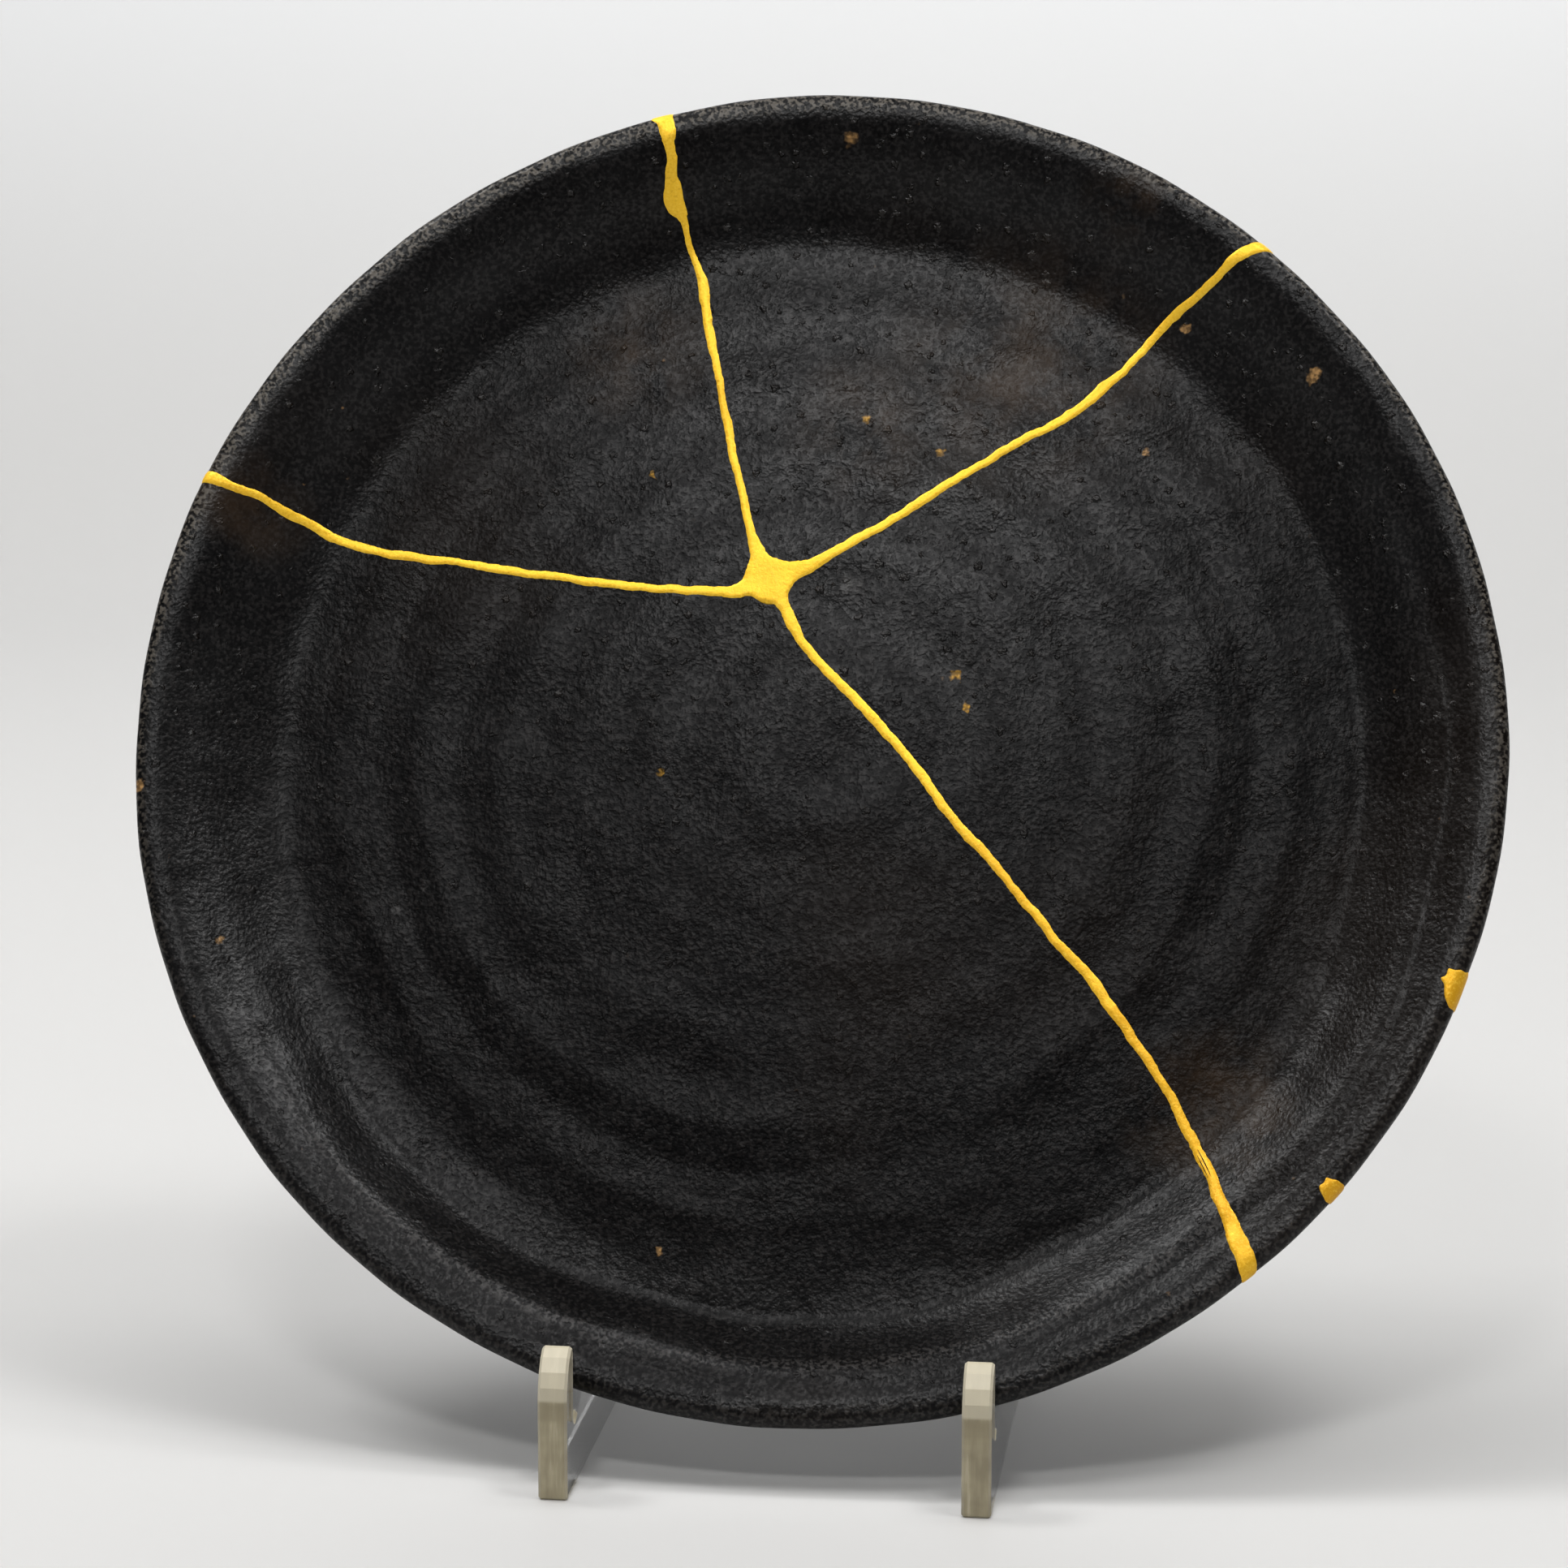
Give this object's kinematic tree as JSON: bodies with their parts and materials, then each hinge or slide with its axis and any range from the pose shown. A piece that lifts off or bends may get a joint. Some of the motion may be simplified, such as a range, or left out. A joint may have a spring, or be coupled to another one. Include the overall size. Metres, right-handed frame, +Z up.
{
  "type": "ceramic plate on stand",
  "caption": "Round dark ceramic plate with a sunken well and raised rim, mended with gold along its cracks, leaned back on a clear display stand.",
  "frame": {"origin": "on the floor, midway between the two sides of the stand and halfway along their bases", "axes": "+Z up, the plate faces -Y and leans back towards +Y, +X to the right seen from the front"},
  "size_m": [0.219, 0.1162, 0.2061],
  "materials": {
    "ceramic": "satin",
    "repair_gold": "satin",
    "clear_acrylic": "polished"
  },
  "bodies": {
    "root": {"shard_top": "ceramic", "shard_left": "ceramic", "shard_bottom": "ceramic", "shard_right": "ceramic", "gold_seam": "repair_gold", "gold_chip_fill_right": "repair_gold", "gold_chip_fill_lower": "repair_gold", "stand_side_left": "clear_acrylic", "stand_side_right": "clear_acrylic", "stand_rod_lower": "clear_acrylic", "stand_rod_upper": "clear_acrylic"}
  },
  "joints": []
}
